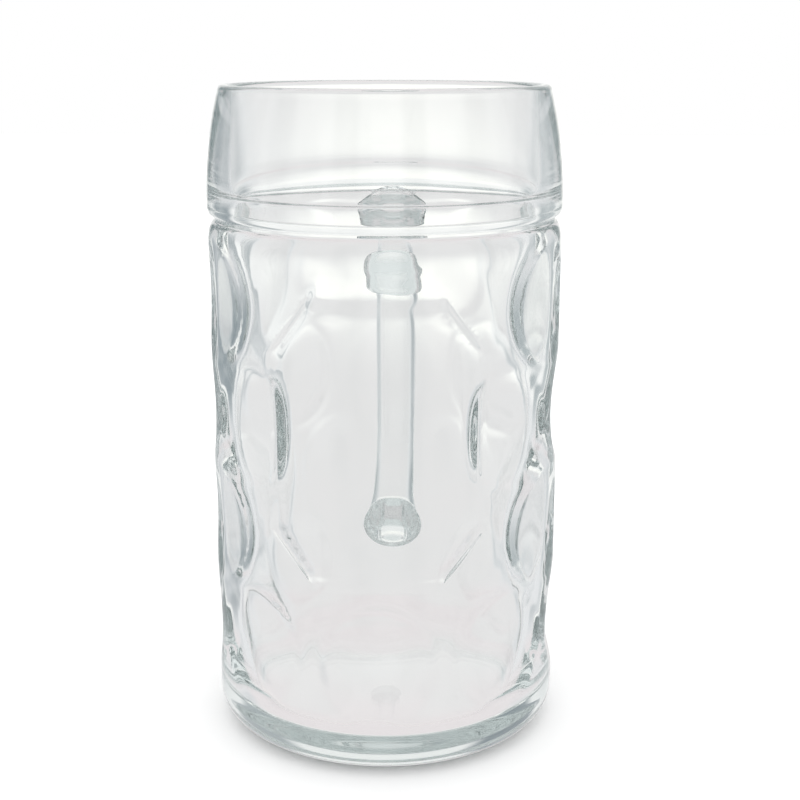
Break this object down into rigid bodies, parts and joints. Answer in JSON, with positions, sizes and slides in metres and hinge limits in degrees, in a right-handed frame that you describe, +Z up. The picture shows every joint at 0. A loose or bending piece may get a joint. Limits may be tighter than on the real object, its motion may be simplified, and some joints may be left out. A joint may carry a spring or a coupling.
{
  "type": "glass beer stein",
  "caption": "Tall clear-glass beer stein with a dimpled wall, smooth label panel, plain band under the lip, thick base and a fused loop handle.",
  "frame": {"origin": "centre of the flat base, on the body's axis, in the plane that the stein stands on", "axes": "+Z up along the body's axis to the lip, -Y out through the label panel, +Y out along the handle, +X to the right when the panel is faced"},
  "size_m": [0.1082, 0.1555, 0.2],
  "materials": {
    "body_glass": "clear pressed soda-lime glass, fire-polished",
    "handle_glass": "clear soda-lime glass, fused on hot and fire-polished"
  },
  "bodies": {
    "root": {"glass_body": "body_glass", "glass_handle": "handle_glass"}
  },
  "joints": []
}
